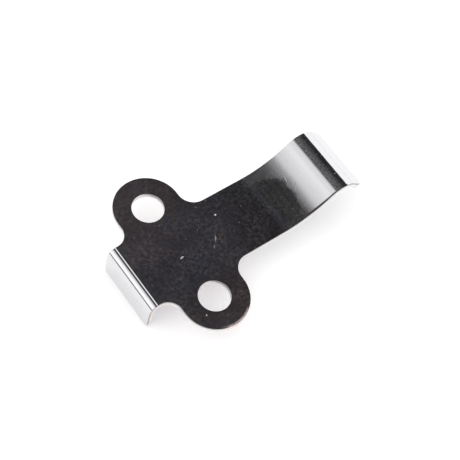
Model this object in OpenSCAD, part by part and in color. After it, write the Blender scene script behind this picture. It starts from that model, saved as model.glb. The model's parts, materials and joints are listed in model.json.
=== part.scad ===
// Hook plate of a cockspur window fastener: one piece of sheet metal, pierced, bent and plated.
// The origin is midway between the screw holes, on the seating face under the screw plate.
// X runs along the tongue, Y through both screw holes, Z away from the seating face.
// Bends are true arcs of the sheet: each has an inner radius, and the sheet's thickness outside it.

/* [Sheet] */
// Thickness of the sheet metal
sheet_t = 1; // [0.8:0.1:1.2]
// Width of the strip that forms the hook lip and the tongue
strip_w = 11.6; // [10:0.1:12.5]

/* [Screw plate] */
// Distance between the centres of the two screw holes
hole_spacing = 18; // [17.4:0.2:20]
// Diameter of each screw hole
hole_d = 5.2; // [4:0.1:6]
// Radius of the rounded ear around each screw hole
ear_r = 5.6; // [5:0.1:5.8]
// Radius in each corner between an ear and the tongue
tongue_fillet_r = 2.7; // [1:0.1:3]
// Radius in each corner between an ear and the hook lip
lip_fillet_r = 2.3; // [1:0.1:2.3]

/* [Hook lip] */
// Distance from the hole centres to the start of the lip's bend
lip_bend_x = 7.9; // [7.9:0.1:9]
// Inner radius of the lip's bend
lip_bend_r = 0.8; // [0.5:0.1:1.2]
// Height of the hook lip, from the plate's top face to the lip's free edge
lip_drop = 6; // [4:0.1:7]
// Radius of the two free corners of the hook lip
lip_corner_r = 0.6; // [0.3:0.1:1.2]

/* [Tongue] */
// Distance from the hole centres to where the tongue starts to rise
rise_x = 16; // [12:0.1:18]
// Radius of the upward sweep, on the tongue's top face
sweep_r = 13; // [10:0.5:20]
// Slope that the sweep reaches, in degrees
sweep_angle = 42; // [30:1:44]
// Straight stretch between the sweep and the crest
straight_l = 0.4; // [0.2:0.1:1]
// Inner radius of the rounded crest
crest_r = 2.6; // [1.5:0.1:4]

/* [End lip] */
// Slope of the end lip beyond the crest, in degrees down
end_lip_angle = 42; // [30:1:46]
// Length of the end lip beyond the crest
end_lip_l = 3; // [2:0.1:6]
// Radius of the two free corners of the end lip
end_corner_r = 0.8; // [0.3:0.1:1.2]

/* [Hidden] */
// One segment for each degree, so that every bend ends on a corner of its circle
$fn = 360;
// How far the bent stretches run into the flat plate, and a cutting tool beyond the sheet
overlap = 1;
lip_straight = lip_drop - lip_bend_r - sheet_t;
crest_turn = sweep_angle + end_lip_angle;

// What a round tool of radius r leaves in a square inside corner.
// The corner is at the origin, and its open side is towards +X and +Y.
module corner_fillet(r) {
    difference() {
        square(r);
        translate([r, r]) circle(r);
    }
}

// What is cut away to round a square outside corner.
// The corner is at the origin, and its solid side is towards +X and +Y.
module corner_waste(r) {
    difference() {
        translate([-overlap, -overlap]) square(r + overlap);
        translate([r, r]) circle(r);
    }
}

// The children, and their mirror image on the other side of the X axis.
module both_sides() {
    children();
    mirror([0, 1]) children();
}

// Outline of the flat plate: two round ears on the strip, with a fillet in every inside corner.
module plate_outline() {
    difference() {
        union() {
            translate([-lip_bend_x, -strip_w / 2]) square([lip_bend_x + rise_x, strip_w]);
            translate([-ear_r, -hole_spacing / 2]) square([2 * ear_r, hole_spacing]);
            both_sides() {
                translate([0, hole_spacing / 2]) circle(ear_r);
                translate([ear_r, strip_w / 2]) corner_fillet(tongue_fillet_r);
                translate([-ear_r, strip_w / 2]) mirror([1, 0]) corner_fillet(lip_fillet_r);
            }
        }
        both_sides() translate([0, hole_spacing / 2]) circle(hole_d / 2);
    }
}

// Moves the children to the end of a bend that turns down, and tilts them along the sheet there.
module after_down(r, turn) {
    translate([0, -r]) rotate(-turn) translate([0, r]) children();
}

// Moves the children to the end of a bend that turns up.
module after_up(r, turn) {
    translate([0, r + sheet_t]) rotate(turn) translate([0, -r - sheet_t]) children();
}

// What is cut away under a straight stretch of length l, and beyond its end.
module stretch_waste(l, reach) {
    translate([0, -reach]) square(reach);
    translate([l, -reach]) square([reach, 2 * reach]);
}

// Side view of a bend that turns the sheet down, with its straight stretches before and after.
// The bend starts at the origin, with the sheet lying on the X axis. Its inner radius is r.
module bend_down(r, turn, before, after) {
    outer_r = r + sheet_t;
    reach = 2 * outer_r + max(before, after);
    difference() {
        union() {
            translate([0, -r]) circle(outer_r);
            translate([-before, -r]) square([before, outer_r]);
            after_down(r, turn) translate([0, -r]) square([after, outer_r]);
        }
        translate([0, -r]) circle(r);
        mirror([1, 0]) stretch_waste(before, reach);
        after_down(r, turn) stretch_waste(after, reach);
    }
}

// Side view of a bend that turns the sheet up.
module bend_up(r, turn, before, after) {
    translate([0, sheet_t]) mirror([0, 1]) bend_down(r, turn, before, after);
}

// Moves the children to where the crest starts, past the sweep.
module after_sweep() {
    after_up(sweep_r, sweep_angle) translate([straight_l, 0]) children();
}

// Side view of the hook lip, drawn as it leaves the plate, along +X.
module lip_profile() {
    bend_down(lip_bend_r, 90, overlap, lip_straight);
}

// Side view of the tongue beyond its flat part: sweep, crest and end lip.
module tongue_profile() {
    bend_up(sweep_r, sweep_angle, overlap, straight_l);
    after_sweep() bend_down(crest_r, crest_turn, straight_l, end_lip_l);
}

// A side view, drawn in X and Y, as a strip of the sheet's full width along Z.
module full_width() {
    linear_extrude(height = strip_w, center = true) children();
}

// What is cut away to round both free corners of a straight stretch of length l.
module free_corners(l, r) {
    translate([0, -overlap, 0]) rotate([-90, 0, 0]) linear_extrude(height = sheet_t + 2 * overlap)
        both_sides() translate([l, -strip_w / 2]) mirror([1, 0]) corner_waste(r);
}

// The hook lip as a solid, lying in its side view.
module lip_strip() {
    difference() {
        full_width() lip_profile();
        after_down(lip_bend_r, 90) free_corners(lip_straight, lip_corner_r);
    }
}

// The tongue beyond its flat part as a solid, lying in its side view.
module tongue_strip() {
    difference() {
        full_width() tongue_profile();
        after_sweep() after_down(crest_r, crest_turn) free_corners(end_lip_l, end_corner_r);
    }
}

// The whole pressing, in one piece: screw plate, hook lip and tongue.
module hook_plate() {
    color("silver") union() {
        linear_extrude(height = sheet_t) plate_outline();
        translate([-lip_bend_x, 0, 0]) mirror([1, 0, 0]) rotate([90, 0, 0]) lip_strip();
        translate([rise_x, 0, 0]) rotate([90, 0, 0]) tongue_strip();
    }
}

hook_plate();
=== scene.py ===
"""Hook plate of a cockspur window fastener: one plated pressing on a plain pale floor."""

import json
import math

import bmesh
import bpy
from mathutils import Matrix, Vector


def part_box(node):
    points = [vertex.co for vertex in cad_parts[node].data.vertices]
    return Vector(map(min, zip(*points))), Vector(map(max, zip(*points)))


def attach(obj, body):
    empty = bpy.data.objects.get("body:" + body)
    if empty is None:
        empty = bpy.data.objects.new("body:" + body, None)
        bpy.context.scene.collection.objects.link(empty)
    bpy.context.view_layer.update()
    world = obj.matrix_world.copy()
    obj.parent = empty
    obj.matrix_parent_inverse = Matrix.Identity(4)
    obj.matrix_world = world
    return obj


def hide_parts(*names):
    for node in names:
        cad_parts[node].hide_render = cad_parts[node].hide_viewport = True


MM = 0.001

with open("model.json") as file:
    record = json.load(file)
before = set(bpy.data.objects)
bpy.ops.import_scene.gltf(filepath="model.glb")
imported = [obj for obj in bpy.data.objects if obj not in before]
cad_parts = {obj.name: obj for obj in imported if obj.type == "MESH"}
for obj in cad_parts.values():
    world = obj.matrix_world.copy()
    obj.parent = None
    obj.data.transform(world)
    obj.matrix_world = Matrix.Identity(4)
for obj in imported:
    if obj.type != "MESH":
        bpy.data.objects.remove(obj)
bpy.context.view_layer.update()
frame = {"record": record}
node_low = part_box("hook_plate")[0]
screws = next(m for m in frame["record"]["mounts"] if m["name"] == "screws")

# ---------------------------------------------------------------- sizes, in millimetres and degrees
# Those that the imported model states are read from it. The rest repeat part.scad.
HALF_SPACING = screws["dims"]["spacing_y_mm"] / 2
HOLE_R = screws["dims"]["hole_r_mm"]
SHEET = 1.0
HALF_STRIP = 5.8
EAR_R = 5.6
TONGUE_FILLET = 2.7
LIP_FILLET = 2.3
LIP_BEND_X = 7.9
LIP_BEND_R = 0.8
LIP_DROP = 6.0
LIP_CORNER = 0.6
RISE_X = 16.0
SWEEP_R = 13.0
SWEEP_ANGLE = 42.0
STRAIGHT = 0.4
CREST_R = 2.6
END_LIP_ANGLE = 42.0
END_LIP = 3.0
END_CORNER = 0.8

# The bends' radii on the top face. The sweep's own radius is already the top face's.
LIP_TOP_R = LIP_BEND_R + SHEET
CREST_TOP_R = CREST_R + SHEET

# How much the sheared edges are rounded at the top face and at the underside, and in how many steps
TOP_ROUND = 0.05
UNDER_ROUND = 0.05
ROUND_STEPS = 4

# The greatest turn between two points of each kind of arc. The ear's gives it as many segments as
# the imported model's ear has, so that the two boxes agree.
BEND_STEP = 1.25
FILLET_STEP = 4.0
EAR_STEP = 4.9
CORNER_STEP = 6.0
HOLE_STEP = 3.0
# How near a cut across the sheet may come to a point before it goes through it
CUT_TOLERANCE = 1e-5

# Where the press tool's line is, near the start of the lip's bend, and how wide it is
LINE_AT = -8.37
LINE_WIDTH = 0.088
# What tilts the top face without moving it: its middle on the path, its width, and its tilt in degrees
FACE_TILTS = [
    (LINE_AT, LINE_WIDTH, 26.0),  # the line
    (LINE_AT - 2.6 * LINE_WIDTH, 1.3 * LINE_WIDTH, -7.0),  # the hollow beside it
    (-9.02, 0.11, 5.0),  # a faint swell further round the lip's bend
    (26.70, 0.36, 7.0),  # a flatter spot early in the crest's bend
]


# ---------------------------------------------------------------- the sheet's path
# Each stretch is (length, turn in degrees). The path follows the top face from the hook lip's free
# edge to the end lip's, and a positive turn is to the left, which is upwards along the tongue.
def arc(radius, turn):
    return radius * math.radians(abs(turn)), turn


STRETCHES = [
    (LIP_DROP - LIP_TOP_R, 0),
    arc(LIP_TOP_R, -90),
    (LIP_BEND_X + RISE_X, 0),
    arc(SWEEP_R, SWEEP_ANGLE),
    (STRAIGHT, 0),
    arc(CREST_TOP_R, -SWEEP_ANGLE - END_LIP_ANGLE),
    (END_LIP, 0),
]
# The path's own coordinate is 0 at the hole line, so on the flat plate it equals X.
S_LOW = -LIP_BEND_X - STRETCHES[1][0] - STRETCHES[0][0]
S_HIGH = S_LOW + sum(length for length, _ in STRETCHES)


def path_at(s):
    """Where the top face is at s, as (x, z, heading in radians)."""
    x = -LIP_BEND_X - LIP_TOP_R
    z = SHEET - LIP_DROP
    heading = math.pi / 2
    left = s - S_LOW
    for i, (length, turn) in enumerate(STRETCHES):
        run = left if i == len(STRETCHES) - 1 else min(left, length)
        if turn == 0:
            x += run * math.cos(heading)
            z += run * math.sin(heading)
        else:
            swing = math.radians(turn) * run / length
            radius = length / math.radians(turn)
            x += radius * (math.sin(heading + swing) - math.sin(heading))
            z -= radius * (math.cos(heading + swing) - math.cos(heading))
            heading += swing
        left -= run
        if left <= 0:
            break
    return x, z, heading


def stations():
    """Where the sheet is cut across, so that its bends are smooth."""
    cuts, s = [], S_LOW
    for length, turn in STRETCHES:
        count = max(1, math.ceil(abs(turn) / BEND_STEP))
        cuts += [s + length * k / count for k in range(1, count + 1)]
        s += length
    return cuts[:-1]


# ---------------------------------------------------------------- the blank's outline
def arc_points(cx, cy, radius, start, end, step, outward=1):
    """Points on an arc, each with the normal that points out of the sheet. Angles are in degrees."""
    count = max(2, math.ceil(abs(end - start) / step))
    points = []
    for k in range(count + 1):
        a = math.radians(start + (end - start) * k / count)
        c, s = math.cos(a), math.sin(a)
        points.append((cx + radius * c, cy + radius * s, outward * c, outward * s))
    return points


def half_outline():
    """The outline for y > 0, from the end lip round to the hook lip."""
    w = HALF_STRIP
    points = [(S_HIGH, 0, 1, 0)]
    points += arc_points(S_HIGH - END_CORNER, w - END_CORNER, END_CORNER, 0, 90, CORNER_STEP)
    fillet_x = EAR_R + TONGUE_FILLET
    points += arc_points(fillet_x, w + TONGUE_FILLET, TONGUE_FILLET, -90, -180, FILLET_STEP, -1)
    points += arc_points(0, HALF_SPACING, EAR_R, 0, 180, EAR_STEP)
    fillet_x = -EAR_R - LIP_FILLET
    points += arc_points(fillet_x, w + LIP_FILLET, LIP_FILLET, 0, -90, FILLET_STEP, -1)
    points += arc_points(S_LOW + LIP_CORNER, w - LIP_CORNER, LIP_CORNER, 90, 180, CORNER_STEP)
    points.append((S_LOW, 0, -1, 0))
    return points


def outline():
    upper = half_outline()
    lower = [(x, -y, nx, -ny) for x, y, nx, ny in reversed(upper[1:-1])]
    return upper + lower


def hole_outline(y):
    """A hole's rim, whose normal points into the hole."""
    return arc_points(0, y, HOLE_R, 0, 360, HOLE_STEP, -1)[:-1]


def rim_profile():
    """(inset, depth below the top face, how far the normal is turned outwards) down the sheet's edge."""
    rows = []
    for k in range(ROUND_STEPS + 1):
        a = math.pi / 2 * k / ROUND_STEPS
        rows.append((TOP_ROUND * (1 - math.sin(a)), TOP_ROUND * (1 - math.cos(a)), a))
    for k in range(ROUND_STEPS + 1):
        a = math.pi / 2 * (1 + k / ROUND_STEPS)
        rows.append((UNDER_ROUND * (1 - math.sin(a)), SHEET - UNDER_ROUND * (1 + math.cos(a)), a))
    return rows


# ---------------------------------------------------------------- the mesh
def lengths_along(points):
    """How far round its outline each point is."""
    run, lengths = 0.0, []
    for k, p in enumerate(points):
        lengths.append(run)
        q = points[(k + 1) % len(points)]
        run += math.hypot(q[0] - p[0], q[1] - p[1])
    return lengths


def add_rings(bm, points, normal, rim):
    """The sheared edge along one outline, as rings of vertices from the top face to the underside."""
    lengths = lengths_along(points)
    rings = []
    for inset, depth, tilt in rim_profile():
        c, s = math.cos(tilt), math.sin(tilt)
        ring = []
        for (px, py, nx, ny), along in zip(points, lengths):
            v = bm.verts.new((px - nx * inset, py - ny * inset, -depth))
            v[normal] = Vector((nx * s, ny * s, c))
            v[rim] = Vector((along, depth, max(0.0, s)))
            ring.append(v)
        rings.append(ring)
    for upper, lower in zip(rings, rings[1:]):
        for k in range(len(points)):
            j = (k + 1) % len(points)
            bm.faces.new((upper[k], upper[j], lower[j], lower[k]))
    return rings


def ring_edges(bm, ring):
    return [bm.edges.get((v, ring[(k + 1) % len(ring)])) for k, v in enumerate(ring)]


def flat_blank():
    """The flat blank, with its normals and its edge marks kept on layers that survive cutting."""
    bm = bmesh.new()
    normal = bm.verts.layers.float_vector.new("flat_normal")
    rim = bm.verts.layers.float_vector.new("rim")
    top_edges, under_edges = [], []
    for points in (outline(), hole_outline(HALF_SPACING), hole_outline(-HALF_SPACING)):
        rings = add_rings(bm, points, normal, rim)
        top_edges += ring_edges(bm, rings[0])
        under_edges += ring_edges(bm, rings[-1])
    for edges, up in ((top_edges, 1), (under_edges, -1)):
        bmesh.ops.triangle_fill(bm, use_beauty=True, edges=edges, normal=(0, 0, up))
    bmesh.ops.recalc_face_normals(bm, faces=bm.faces[:])
    for s in stations():
        parts = bm.verts[:] + bm.edges[:] + bm.faces[:]
        across = {"plane_co": (s, 0, 0), "plane_no": (1, 0, 0)}
        bmesh.ops.bisect_plane(bm, geom=parts, dist=CUT_TOLERANCE, **across)
    return bm, normal


def face_tilt(s):
    """How far the press tool's marks tilt the top face, in radians."""
    tilts = [tilt * math.exp(-(((s - middle) / width) ** 2)) for middle, width, tilt in FACE_TILTS]
    return math.radians(sum(tilts))


def bend(bm, normal):
    """Moves every vertex of the flat blank to its place on the bent sheet, and returns the normals."""
    normals = []
    for v in bm.verts:
        s, y, height = v.co
        x, z, heading = path_at(s)
        true_up = Vector((-math.sin(heading), 0, math.cos(heading)))
        if height > -TOP_ROUND:
            heading += face_tilt(s)
        ahead = Vector((math.cos(heading), 0, math.sin(heading)))
        up = Vector((-math.sin(heading), 0, math.cos(heading)))
        flat = v[normal].normalized()
        normals.append((ahead * flat.x + Vector((0, flat.y, 0)) + up * flat.z).normalized())
        v.co = (Vector((x, y, z)) + true_up * height) * MM
    return normals


def make_plate():
    bm, normal = flat_blank()
    flat_place = bm.verts.layers.float_vector.new("flat_place")
    for v in bm.verts:
        v[flat_place] = v.co
    normals = bend(bm, normal)
    mesh = bpy.data.meshes.new("plate")
    bm.to_mesh(mesh)
    bm.free()
    mesh.shade_smooth()
    mesh.normals_split_custom_set_from_vertices(normals)
    plate = bpy.data.objects.new("plate", mesh)
    bpy.context.scene.collection.objects.link(plate)
    return plate


# ---------------------------------------------------------------- building node trees
class Nodes:
    """Short calls for building one node tree. A value may be a number, a colour or another node's output."""

    def __init__(self, tree):
        self.tree = tree

    def new(self, kind, **settings):
        node = self.tree.nodes.new(kind)
        for name, value in settings.items():
            setattr(node, name, value)
        return node

    def put(self, socket, value):
        if isinstance(value, bpy.types.NodeSocket):
            self.tree.links.new(value, socket)
        else:
            socket.default_value = value

    def math(self, operation, a, b=0.0):
        node = self.new("ShaderNodeMath", operation=operation)
        self.put(node.inputs[0], a)
        self.put(node.inputs[1], b)
        return node.outputs[0]

    def plus(self, a, b):
        return self.math("ADD", a, b)

    def minus(self, a, b):
        return self.math("SUBTRACT", a, b)

    def times(self, a, b):
        return self.math("MULTIPLY", a, b)

    def larger(self, a, b):
        return self.math("MAXIMUM", a, b)

    def smaller(self, a, b):
        return self.math("MINIMUM", a, b)

    def absolute(self, a):
        return self.math("ABSOLUTE", a)

    def rest(self, a):
        """What is left of 1."""
        return self.minus(1.0, a)

    def degrees(self, angle):
        return self.times(angle, 180 / math.pi)

    def ramp(self, value, low, high, out_low=0.0, out_high=1.0, smooth=True):
        kind = "SMOOTHSTEP" if smooth else "LINEAR"
        node = self.new("ShaderNodeMapRange", interpolation_type=kind)
        limits = {"From Min": low, "From Max": high, "To Min": out_low, "To Max": out_high}
        self.put(node.inputs["Value"], value)
        for name, limit in limits.items():
            self.put(node.inputs[name], limit)
        return node.outputs["Result"]

    def between(self, value, span):
        """1 inside a span and 0 outside. A span is ((rise from, to), (fall from, to))."""
        rise, fall = span
        return self.times(self.ramp(value, *rise), self.ramp(value, *fall, 1.0, 0.0))

    def mix(self, factor, a, b):
        node = self.new("ShaderNodeMix", data_type="RGBA")
        self.put(node.inputs["Factor"], factor)
        self.put(node.inputs["A"], a)
        self.put(node.inputs["B"], b)
        return node.outputs["Result"]

    def blend(self, factor, a, b):
        node = self.new("ShaderNodeMix", data_type="FLOAT")
        self.put(node.inputs["Factor"], factor)
        self.put(node.inputs["A"], a)
        self.put(node.inputs["B"], b)
        return node.outputs["Result"]

    def split(self, vector):
        node = self.new("ShaderNodeSeparateXYZ")
        self.put(node.inputs[0], vector)
        return node.outputs

    def length(self, vector):
        node = self.new("ShaderNodeVectorMath", operation="LENGTH")
        self.put(node.inputs[0], vector)
        return node.outputs["Value"]

    def noise(self, place, scale, detail, rough=0.5, stretch=(1, 1, 1), turn=0.0):
        mapping = self.new("ShaderNodeMapping")
        self.put(mapping.inputs["Vector"], place)
        mapping.inputs["Scale"].default_value = stretch
        mapping.inputs["Rotation"].default_value = (0, 0, math.radians(turn))
        node = self.new("ShaderNodeTexNoise")
        self.put(node.inputs["Vector"], mapping.outputs[0])
        node.inputs["Scale"].default_value = scale
        node.inputs["Detail"].default_value = detail
        node.inputs["Roughness"].default_value = rough
        return node.outputs["Fac"]

    def patches(self, place, low, high, out_low=0.0, out_high=1.0, smooth=True, **look):
        """Noise, with what lies between low and high spread from out_low to out_high."""
        return self.ramp(self.noise(place, **look), low, high, out_low, out_high, smooth)

    def attribute(self, name):
        return self.new("ShaderNodeAttribute", attribute_name=name).outputs["Vector"]


def new_material(name):
    """A material with its node builder and its shader."""
    material = bpy.data.materials.new(name)
    material.use_nodes = True
    return material, Nodes(material.node_tree), material.node_tree.nodes["Principled BSDF"]


# ---------------------------------------------------------------- plating: sizes in mm on the flat sheet
# Tints of the plate, of the lip and tongue, of the warm and the cool mottles, and of the ears
PLATE_TINT = (0.735, 0.70, 0.745, 1)
STRIP_TINT = (0.722, 0.724, 0.742, 1)
WARM_TINT = (0.78, 0.69, 0.685, 1)
COOL_TINT = (0.66, 0.68, 0.80, 1)
EAR_TINT = (0.78, 0.68, 0.65, 1)
# Tints of the sheared edges: burnished and darkened with painted shade, torn, and torn with copper showing.
# Then of the worn rim, which is partly a painted highlight.
BURNISH_AND_SHADE_TINT = (0.36, 0.35, 0.36, 1)
TORN_TINT = (0.82, 0.81, 0.80, 1)
COPPER_TINT = (0.82, 0.69, 0.64, 1)
WORN_HIGHLIGHT_TINT = (0.86, 0.73, 0.71, 1)
# What share of the mottles is left on the lip and the tongue, how strongly the ears take their tint,
# and how far from the middle line it begins and is full
STRIP_MOTTLE = 0.15
EAR_STRENGTH = 0.75
EAR_FADE = (5.0, 9.0)
# Where the plate's tints give way to the strip's: on the lip, and on the tongue
LIP_FADE = (-8.0, -7.6)
TONGUE_FADE = (9.0, 14.0)

# The clean core in the haze on the tongue: its middle, its half length, its half width, how square
# it is, where the haze round it begins and is full as shares of its size, and how far it wanders
CLEAN_AT = (16.0, -0.6)
CLEAN_LENGTH = 6.1
CLEAN_WIDTH = 4.3
CLEAN_POWER = 3.0
CLEAN_EDGE = (0.88, 1.04)
CLEAN_WANDER = 0.10
CLEAN_RAGGED = 0.05
# How rough the haze is on the tongue and on the crest, and how rough the fine grain is
RING_HAZE = 0.26
CREST_HAZE = 0.17
GRAIN = 0.08
# The haze is weaker towards the near edge: from where to where, and what share is left there
RING_FADE = (-5.5, 4.0)
RING_NEAR_SHARE = 0.55
# Where along the sheet each of them fades in and out
RING_SPAN = ((14.5, 17.5), (21.8, 23.2))
CREST_SPAN = ((26.8, 27.5), (27.8, 28.6))
FROST_SPAN = ((26.2, 27.3), (27.4, 28.7))

# How much of the light the bloom scatters at most, what share of that its faintest mottles reach, and
# what share is left on the tongue, with the two places along the sheet between which it falls
BLOOM = 0.066
BLOOM_LEAST = 0.45
TONGUE_BLOOM = 0.8
CALM_FADE = (8.0, 13.0)
# How much of it the crest's frosting, the marks and the worn rim, which is partly a painted highlight,
# scatter
FROST = 0.21
MARK_BLOOM = 0.75
WORN_HIGHLIGHT_BLOOM = 0.42

# The near ear's worn rim, which is partly a painted highlight: how far in from the ear's edge it begins and
# is full, where it is, and how much wear its least worn patches have
WORN_HIGHLIGHT_INSET = (0.42, 0.20)
WORN_HIGHLIGHT_Y = (-12.9, -13.4)
WORN_HIGHLIGHT_SPAN = ((-2.6, -0.6), (2.6, 3.8))
WORN_HIGHLIGHT_LEAST = 0.35

# The sheared edge is burnished from the top face down to about the depths below, and that band also carries
# painted shade; its limit is ragged. In the holes the band lies lower on the +X side and higher on the -X
# side, by the shift below, which is painted shade. What is less than HOLE_WALL outside a hole's radius
# belongs to its wall.
BURNISH_AND_SHADE_DEPTH = (0.20, 0.42)
BURNISH_AND_SHADE_RAGGED = 0.12
HOLE_SHADE_FADE = (0.4, 2.0)
HOLE_SHADE_SHIFT = 0.25
HOLE_WALL = (0.2, 0.3)
# How far the normal has turned outwards, as a sine, where the face gives way to the sheared edge
EDGE_FADE = (0.25, 0.95)

# The part of the hairlines' noise that shows as lines
HAIR_WINDOW = (0.62, 0.78)
# Heights of the plating's slow waviness, its fine orange peel, its hairlines, which are grooves, and
# its specks, which stand proud
WAVE = 0.020
PEEL = 0.0030
HAIRLINE = -0.0012
SPECK_HEIGHT = 0.05
# The near edge of the tongue is rolled down: how steeply at the very edge, as a slope, how wide the
# rolled band is at two places along the sheet, and where it fades in and out
ROLL_SLOPE = 0.50
ROLL_AT = (20.0, 27.0)
ROLL_WIDTHS = (0.75, 0.40)
ROLL_SPAN = ((16.5, 22.5), (28.2, 29.4))

# Roughness: of the clean plating, of the hairlines, of a speck, of the burnished and the torn edge,
# and the greatest anywhere
CLEAN_ROUGH = (0.04, 0.09)
HAIR_ROUGH = 0.14
SPECK_ROUGH = 0.6
BURNISHED_ROUGH = 0.08
TORN_ROUGH = (0.20, 0.40)
ROUGHEST = 0.75

# Dust: how many cells it is scattered over to the millimetre, a dot's radius, the share of the radius
# that is solid, the share of the cells that stay empty, and a dot's greatest strength
DUST_PER_MM = 0.45
DUST_R = 0.15
DUST_SOLID = 0.4
DUST_EMPTY = 0.55
DUST = 0.20

# Marks that show on the top face: where on the flat sheet, to the nearest half millimetre, then half
# length, half width, direction in degrees and strength
MARKS = [
    (8.5, 2.5, 0.22, 0.20, 0, 1.00),  # a white speck at the root of the tongue
    (-0.5, -1.0, 0.45, 0.17, 10, 0.85),  # a pale chip between the holes
    (6.0, -1.0, 0.75, 0.12, 55, 0.40),  # two short scratches beside each other
    (5.0, -2.0, 0.40, 0.10, 55, 0.30),
    (-3.0, -11.0, 0.24, 0.13, 60, 0.50),  # a pale nick on the near ear
    (22.0, 1.5, 0.95, 0.07, 75, 0.22),  # two hairlines on the tongue's bend
    (22.5, -0.5, 1.10, 0.06, 60, 0.20),
]
# The share of a mark's reach that is at full strength
MARK_SOLID = 0.3


def one_mark(n, place, mark):
    s, y, half_length, half_width, turn, strength = mark
    mapping = n.new("ShaderNodeMapping", vector_type="TEXTURE")
    n.put(mapping.inputs["Vector"], place)
    mapping.inputs["Location"].default_value = (s, y, 0)
    mapping.inputs["Rotation"].default_value = (0, 0, math.radians(turn))
    mapping.inputs["Scale"].default_value = (half_length, half_width, 1)
    return n.ramp(n.length(mapping.outputs[0]), MARK_SOLID, 1.0, strength, 0.0)


def dust(n, place):
    """A fine scatter: a dot in the middle of some of the cells."""
    cells = n.new("ShaderNodeTexVoronoi", voronoi_dimensions="2D")
    n.put(cells.inputs["Vector"], place)
    cells.inputs["Scale"].default_value = DUST_PER_MM
    chance = n.new("ShaderNodeSeparateColor")
    n.put(chance.inputs[0], cells.outputs["Color"])
    reach = DUST_R * DUST_PER_MM
    dot = n.ramp(cells.outputs["Distance"], DUST_SOLID * reach, reach, 1.0, 0.0)
    return n.times(dot, n.ramp(chance.outputs[0], DUST_EMPTY, 1.0, 0.0, DUST))


def specks(n, place):
    """The marks and the dust, as one mask."""
    mask = 0.0
    for mark in MARKS:
        mask = n.larger(mask, one_mark(n, place, mark))
    return n.larger(mask, dust(n, place))


def haze(n, s, y, place):
    """Where the plating is dull: on the stretched crest, and on the tongue round a clean core."""
    slow = {"scale": 0.40, "detail": 1.0}
    fast = {"scale": 2.0, "detail": 3.0, "rough": 0.6}
    wander = n.patches(place, 0.25, 0.75, -CLEAN_WANDER, CLEAN_WANDER, smooth=False, **slow)
    ragged = n.patches(place, 0.25, 0.75, -CLEAN_RAGGED, CLEAN_RAGGED, smooth=False, **fast)
    along = n.math("DIVIDE", n.minus(s, CLEAN_AT[0]), CLEAN_LENGTH)
    across = n.math("DIVIDE", n.minus(y, CLEAN_AT[1]), CLEAN_WIDTH)
    along = n.math("POWER", n.absolute(along), CLEAN_POWER)
    across = n.math("POWER", n.absolute(across), CLEAN_POWER)
    core = n.math("POWER", n.plus(along, across), 1 / CLEAN_POWER)
    core = n.plus(core, n.plus(wander, ragged))
    strength = n.ramp(y, *RING_FADE, RING_NEAR_SHARE * RING_HAZE, RING_HAZE)
    ring = n.times(n.ramp(core, *CLEAN_EDGE), strength)
    ring = n.times(ring, n.between(s, RING_SPAN))
    return n.larger(ring, n.times(n.between(s, CREST_SPAN), CREST_HAZE))


def tints(n, s, y, place):
    """Colour of the plating: mottles a millimetre or two across on the plate, and warmer ears."""
    warm = n.patches(place, 0.42, 0.62, scale=0.45, detail=4.0, rough=0.6)
    cool = n.patches(place, 0.5, 0.7, scale=0.7, detail=3.0, rough=0.6, turn=40)
    strip = n.plus(n.ramp(s, *LIP_FADE, 1.0, 0.0), n.ramp(s, *TONGUE_FADE))
    mottled = n.ramp(strip, 0.0, 1.0, 1.0, STRIP_MOTTLE)
    colour = n.mix(n.times(warm, mottled), n.mix(strip, PLATE_TINT, STRIP_TINT), WARM_TINT)
    colour = n.mix(n.times(cool, mottled), colour, COOL_TINT)
    ears = n.times(n.ramp(n.absolute(y), *EAR_FADE), EAR_STRENGTH)
    return n.mix(ears, colour, EAR_TINT)


def from_hole(n, s, y):
    """How far a place is from the middle of the nearer hole."""
    offset = n.new("ShaderNodeCombineXYZ")
    n.put(offset.inputs[0], s)
    n.put(offset.inputs[1], n.minus(n.absolute(y), HALF_SPACING))
    return n.length(offset.outputs[0])


def painted_shade_and_burnish(n, s, away, depth, grain):
    """Where the sheared edge is burnished and carries painted shade: near the top face, down to a ragged
    limit, deeper on the holes' +X side.
    """
    in_hole = n.ramp(away, HOLE_R + HOLE_WALL[0], HOLE_R + HOLE_WALL[1], 1.0, 0.0)
    ragged = n.ramp(grain, 0.3, 0.7, -BURNISH_AND_SHADE_RAGGED, BURNISH_AND_SHADE_RAGGED, False)
    shade_deeper = n.times(in_hole, n.ramp(s, *HOLE_SHADE_FADE, -HOLE_SHADE_SHIFT, HOLE_SHADE_SHIFT))
    return n.ramp(n.minus(n.plus(depth, ragged), shade_deeper), *BURNISH_AND_SHADE_DEPTH, 1.0, 0.0)


def sheared_tints(n, rim, grain, shade_and_burnish):
    """Colour of the sheared edges: dark with painted shade on the burnished band, pale below, with copper
    here and there.
    """
    copper = n.patches(rim, 0.47, 0.66, scale=0.28, detail=2.0, stretch=(1, 0, 0))
    torn = n.mix(n.times(copper, n.ramp(grain, 0.3, 0.7)), TORN_TINT, COPPER_TINT)
    return n.mix(shade_and_burnish, torn, BURNISH_AND_SHADE_TINT)


def worn_highlight_rim(n, s, y, away, place):
    """Where the near ear's rim is worn through to the copper, painted pale as a highlight."""
    rim = n.ramp(away, EAR_R - WORN_HIGHLIGHT_INSET[0], EAR_R - WORN_HIGHLIGHT_INSET[1])
    worn_highlight = n.times(rim, n.ramp(y, *WORN_HIGHLIGHT_Y))
    worn_highlight = n.times(worn_highlight, n.between(s, WORN_HIGHLIGHT_SPAN))
    patchy = n.patches(place, 0.30, 0.55, WORN_HIGHLIGHT_LEAST, 1.0, scale=1.6, detail=3.0, rough=0.6)
    return n.times(worn_highlight, patchy)


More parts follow.
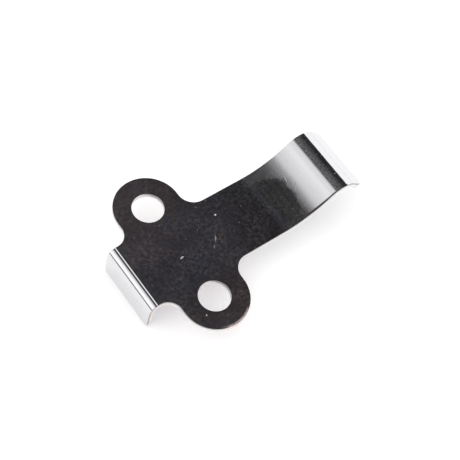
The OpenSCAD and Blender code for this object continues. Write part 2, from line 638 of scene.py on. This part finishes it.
def scattering(n, s, place, speck, worn_highlight):
    """How much of the light the plating scatters: soft mottles, frosting, specks and the worn rim with its
    painted highlight.
    """
    mottle = n.patches(place, 0.38, 0.68, scale=1.7, detail=6.0, rough=0.80)
    drift = n.patches(place, 0.35, 0.65, BLOOM_LEAST, 1.0, scale=0.22, detail=2.0)
    calm = n.ramp(s, *CALM_FADE, BLOOM, TONGUE_BLOOM * BLOOM)
    bloom = n.times(n.times(mottle, drift), calm)
    grains = n.patches(place, 0.34, 0.74, scale=5.0, detail=3.0, rough=0.7)
    bloom = n.plus(bloom, n.times(grains, n.times(n.between(s, FROST_SPAN), FROST)))
    bloom = n.smaller(n.plus(bloom, n.times(speck, MARK_BLOOM)), 1.0)
    return n.plus(bloom, n.times(worn_highlight, WORN_HIGHLIGHT_BLOOM))


def hairlines(n, place):
    """Two crossing sets of fine lines, before they are cut down to their crests."""
    look = {"scale": 1.5, "detail": 3.0, "rough": 0.6}
    first = n.noise(place, stretch=(0.5, 9, 1), turn=12, **look)
    second = n.noise(place, stretch=(0.5, 8, 1), turn=-55, **look)
    return n.larger(first, second)


def face_roughness(n, s, y, place, hair, speck):
    """Roughness of the plating itself, apart from the sheared edges."""
    clean = n.patches(place, 0.3, 0.75, *CLEAN_ROUGH, scale=0.9, detail=4.0, rough=0.65)
    fine = n.patches(place, 0.42, 0.72, scale=2.2, detail=4.0, rough=0.7)
    streaks = n.plus(n.ramp(hair, *HAIR_WINDOW, 0.0, HAIR_ROUGH), n.times(fine, GRAIN))
    rough = n.plus(n.plus(clean, haze(n, s, y, place)), streaks)
    return n.plus(rough, n.times(speck, SPECK_ROUGH))


def rolled_edge(n, s, y):
    """How far the tongue's near edge is rolled down, in mm."""
    band = n.ramp(s, *ROLL_AT, *ROLL_WIDTHS, False)
    into = n.larger(n.minus(band, n.plus(y, HALF_STRIP)), 0.0)
    rolled = n.math("DIVIDE", n.times(n.math("POWER", into, 2.0), -0.5 * ROLL_SLOPE), band)
    return n.times(rolled, n.between(s, ROLL_SPAN))


def relief(n, s, y, place, hair, speck, face):
    """The plating's height, in mm."""
    wave = n.times(n.noise(place, scale=0.28, detail=1.0), WAVE)
    peel = n.times(n.noise(place, scale=1.5, detail=3.0, rough=0.6), PEEL)
    lines = n.times(n.ramp(hair, *HAIR_WINDOW), HAIRLINE)
    height = n.plus(n.plus(wave, peel), n.plus(lines, n.times(speck, SPECK_HEIGHT)))
    return n.plus(height, n.times(rolled_edge(n, s, y), face))


def plating():
    """Mirror-bright plating: soft haze, hairlines, marks and dust, sheared edges with painted shade on their
    burnished band, and a worn rim that is partly a painted highlight.
    """
    material, n, shader = new_material("plating")
    place, rim = n.attribute("flat_place"), n.attribute("rim")
    s, y, _ = n.split(place)
    _, depth, outwards = n.split(rim)
    edge = n.ramp(outwards, *EDGE_FADE)
    face = n.rest(edge)
    away = from_hole(n, s, y)
    grain = n.noise(rim, scale=1.2, detail=4.0, rough=0.7, stretch=(3.0, 0.5, 0))
    # This mask darkens the sheared edges' colour as painted shade, and also sets their roughness.
    shade_and_burnish = painted_shade_and_burnish(n, s, away, depth, grain)
    worn_highlight = worn_highlight_rim(n, s, y, away, place)
    speck = specks(n, place)
    hair = hairlines(n, place)

    colour = n.mix(edge, tints(n, s, y, place), sheared_tints(n, rim, grain, shade_and_burnish))
    # The worn rim's pale tint is partly a painted highlight.
    n.put(shader.inputs["Base Color"], n.mix(worn_highlight, colour, WORN_HIGHLIGHT_TINT))

    scattered = scattering(n, s, place, speck, worn_highlight)
    n.put(shader.inputs["Metallic"], n.rest(n.times(scattered, face)))

    torn = n.ramp(grain, 0.3, 0.8, *TORN_ROUGH)
    wall = n.plus(n.times(torn, n.rest(shade_and_burnish)), BURNISHED_ROUGH)
    rough = n.blend(edge, face_roughness(n, s, y, place, hair, speck), wall)
    n.put(shader.inputs["Roughness"], n.smaller(rough, ROUGHEST))

    bump = n.new("ShaderNodeBump")
    bump.inputs["Strength"].default_value = 1.0
    bump.inputs["Distance"].default_value = MM
    n.put(bump.inputs["Height"], relief(n, s, y, place, hair, speck, face))
    n.put(shader.inputs["Normal"], bump.outputs["Normal"])
    return material


# ---------------------------------------------------------------- surroundings: angles in degrees
# The bearing is the angle from straight up towards -X. The room is dark. It is darker still below
# DIM_FADE, and a little darker above BACK_FADE.
ROOM, DIM_ROOM, BACK_ROOM = 0.042, 0.018, 0.031
DIM_FADE = (-28.0, -23.0)
BACK_FADE = (-19.0, -12.0)
# The light has a soft edge, then brightens slowly as far as its core
LIGHT_EDGE, EDGE_LEVEL = (16.0, 38.5), 0.86
LIGHT_CORE, INNER_LEVEL, CORE_LEVEL = (58.0, 61.0), 1.15, 1.36
# It fades out towards -Y between these two values of the direction's own Y, which isn't an angle
LIGHT_END = (-0.24, -0.02)
# Below this height the light stands only between these angles from -X towards +Y
LOW_TOP = (34.5, 37.0)
LIGHT_SPAN = ((-16.0, -8.0), (31.0, 38.0))
# A white card stands low between these angles from +X towards +Y. Elsewhere the low room is grey,
# darker from the horizon up.
CARD = (1.25, 1.25, 1.25, 1)
CARD_SPAN = ((-4.0, 4.0), (34.0, 42.0))
LOW_GREY, HIGH_GREY = 0.50, 0.12
GREY_TOP = 36.0
# The dark gap between the table's far edge and the light, on the -X side: its colour, how high it
# reaches, and from which bearing on
GAP = (0.15, 0.125, 0.12, 1)
GAP_TOP = (8.5, 11.5)
GAP_FROM = (50.0, 62.0)
# Dim shapes in the dark parts: how much they darken and brighten, and the two brightnesses between
# which they fade away. They are cool or warm, with only BACK_HUE of that left above HUE_FADE.
SHAPES = (0.25, 1.75)
DARK = (0.06, 0.30)
COOL_HUE = (0.90, 0.93, 1.12, 1)
WARM_HUE = (1.14, 0.93, 0.95, 1)
HUE_FADE = (-22.0, -12.0)
BACK_HUE = 0.25
WHITE = (1, 1, 1, 1)


def brightness(n, bearing, y):
    """The room and the soft light, as a sum of steps over the bearing."""
    bright = n.ramp(bearing, *DIM_FADE, DIM_ROOM, ROOM)
    bright = n.plus(bright, n.ramp(bearing, *BACK_FADE, 0.0, BACK_ROOM - ROOM))
    bright = n.plus(bright, n.ramp(bearing, *LIGHT_EDGE, 0.0, EDGE_LEVEL - BACK_ROOM))
    inner = INNER_LEVEL - EDGE_LEVEL
    bright = n.plus(bright, n.ramp(bearing, LIGHT_EDGE[1], LIGHT_CORE[0], 0.0, inner, False))
    bright = n.plus(bright, n.ramp(bearing, *LIGHT_CORE, 0.0, CORE_LEVEL - INNER_LEVEL))
    here = n.ramp(y, *LIGHT_END)
    return n.plus(n.times(bright, here), n.times(n.rest(here), ROOM))


def uneven(n, bright, bearing, direction):
    """The same brightness as a colour, with dim warm and cool shapes where it is dark."""
    look = {"scale": 15.0, "detail": 5.0, "rough": 0.65}
    shapes = n.patches(direction, 0.28, 0.72, *SHAPES, smooth=False, **look)
    warm = n.patches(direction, 0.40, 0.60, scale=9.0, detail=3.0)
    dark = n.ramp(bright, *DARK, 1.0, 0.0)
    shade = n.plus(n.times(n.minus(shapes, 1.0), dark), 1.0)
    tinted = n.times(dark, n.ramp(bearing, *HUE_FADE, 1.0, BACK_HUE))
    scaled = n.new("ShaderNodeVectorMath", operation="SCALE")
    n.put(scaled.inputs[0], n.mix(tinted, WHITE, n.mix(warm, COOL_HUE, WARM_HUE)))
    n.put(scaled.inputs["Scale"], n.times(bright, shade))
    return scaled.outputs[0]


def low_room(n, height, right):
    """The grey low room with the white card in it."""
    grey = n.new("ShaderNodeCombineColor")
    level = n.ramp(height, 0.0, GREY_TOP, LOW_GREY, HIGH_GREY, False)
    for socket in grey.inputs:
        n.put(socket, level)
    return n.mix(n.between(right, CARD_SPAN), grey.outputs[0], CARD)


def surroundings():
    """A dark room that is grey lower down, a soft light that leans in from the -X side, and a white card."""
    world = bpy.data.worlds.new("studio")
    bpy.context.scene.world = world
    world.use_nodes = True
    n = Nodes(world.node_tree)
    direction = n.new("ShaderNodeTexCoord").outputs["Generated"]
    x, y, z = n.split(direction)
    back = n.times(x, -1.0)
    bearing = n.degrees(n.math("ARCTAN2", back, z))
    height = n.degrees(n.math("ARCSINE", z))
    left = n.degrees(n.math("ARCTAN2", y, back))
    right = n.degrees(n.math("ARCTAN2", y, x))

    colour = uneven(n, brightness(n, bearing, y), bearing, direction)
    low = n.times(n.ramp(height, *LOW_TOP, 1.0, 0.0), n.rest(n.between(left, LIGHT_SPAN)))
    colour = n.mix(low, colour, low_room(n, height, right))
    gap = n.times(n.ramp(height, *GAP_TOP, 1.0, 0.0), n.ramp(bearing, *GAP_FROM))
    colour = n.mix(gap, colour, GAP)
    # What stands behind the table is plain white
    seen = n.new("ShaderNodeLightPath").outputs["Is Camera Ray"]
    n.put(world.node_tree.nodes["Background"].inputs["Color"], n.mix(seen, colour, WHITE))


# ---------------------------------------------------------------- floor and lamps: sizes in metres
FLOOR_HALF = 0.8
FLOOR_GREY = (0.92, 0.92, 0.92, 1)
FLOOR_ROUGH = 0.8
FLOOR_SHINE = 0.2
FLOOR_GLOW = 0.28


def floor_material():
    material, _, shader = new_material("floor")
    shader.inputs["Base Color"].default_value = FLOOR_GREY
    shader.inputs["Roughness"].default_value = FLOOR_ROUGH
    shader.inputs["Specular IOR Level"].default_value = FLOOR_SHINE
    shader.inputs["Emission Color"].default_value = WHITE
    shader.inputs["Emission Strength"].default_value = FLOOR_GLOW
    return material


def make_floor(z):
    half = FLOOR_HALF
    corners = [(-half, -half, z), (half, -half, z), (half, half, z), (-half, half, z)]
    mesh = bpy.data.meshes.new("floor")
    mesh.from_pydata(corners, [], [(0, 1, 2, 3)])
    floor = bpy.data.objects.new("floor", mesh)
    floor.data.materials.append(floor_material())
    bpy.context.scene.collection.objects.link(floor)


def make_light(name, place, size, energy):
    """A soft lamp that lights the floor. It isn't seen in the plating."""
    data = bpy.data.lights.new(name, "AREA")
    data.shape = "DISK"
    data.size = size
    data.energy = energy
    light = bpy.data.objects.new(name, data)
    light.location = place
    light.rotation_mode = "QUATERNION"
    light.rotation_quaternion = (-light.location).to_track_quat("-Z", "Y")
    light.visible_glossy = False
    light.visible_camera = False
    bpy.context.scene.collection.objects.link(light)


# ---------------------------------------------------------------- camera
CAMERA_AT = Vector((-68.53, -59.33, 160.80)) * MM
LOOKS_AT = Vector((8.898, -0.937, 1.0)) * MM
ROLL = 19.08
LENS = 92.85
SENSOR = 36.0
NEAREST, FARTHEST = 0.005, 20.0


def make_camera():
    data = bpy.data.cameras.new("camera")
    data.lens = LENS
    data.sensor_width = SENSOR
    data.clip_start, data.clip_end = NEAREST, FARTHEST
    camera = bpy.data.objects.new("camera", data)
    look = (LOOKS_AT - CAMERA_AT).to_track_quat("-Z", "Y").to_matrix()
    turned = look @ Matrix.Rotation(math.radians(ROLL), 3, "Z")
    camera.matrix_world = Matrix.Translation(CAMERA_AT) @ turned.to_4x4()
    bpy.context.scene.collection.objects.link(camera)
    bpy.context.scene.camera = camera


# ---------------------------------------------------------------- the scene
plate = make_plate()
plate.data.materials.append(plating())
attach(plate, "root")
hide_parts("hook_plate")
make_floor(node_low.z)
surroundings()
make_light("overhead", place=(0.02, 0.05, 1.0), size=2.2, energy=15.0)
make_light("side", place=(-0.62, 0.25, 0.75), size=0.9, energy=0.9)
make_camera()
bpy.context.scene.view_settings.view_transform = "Standard"
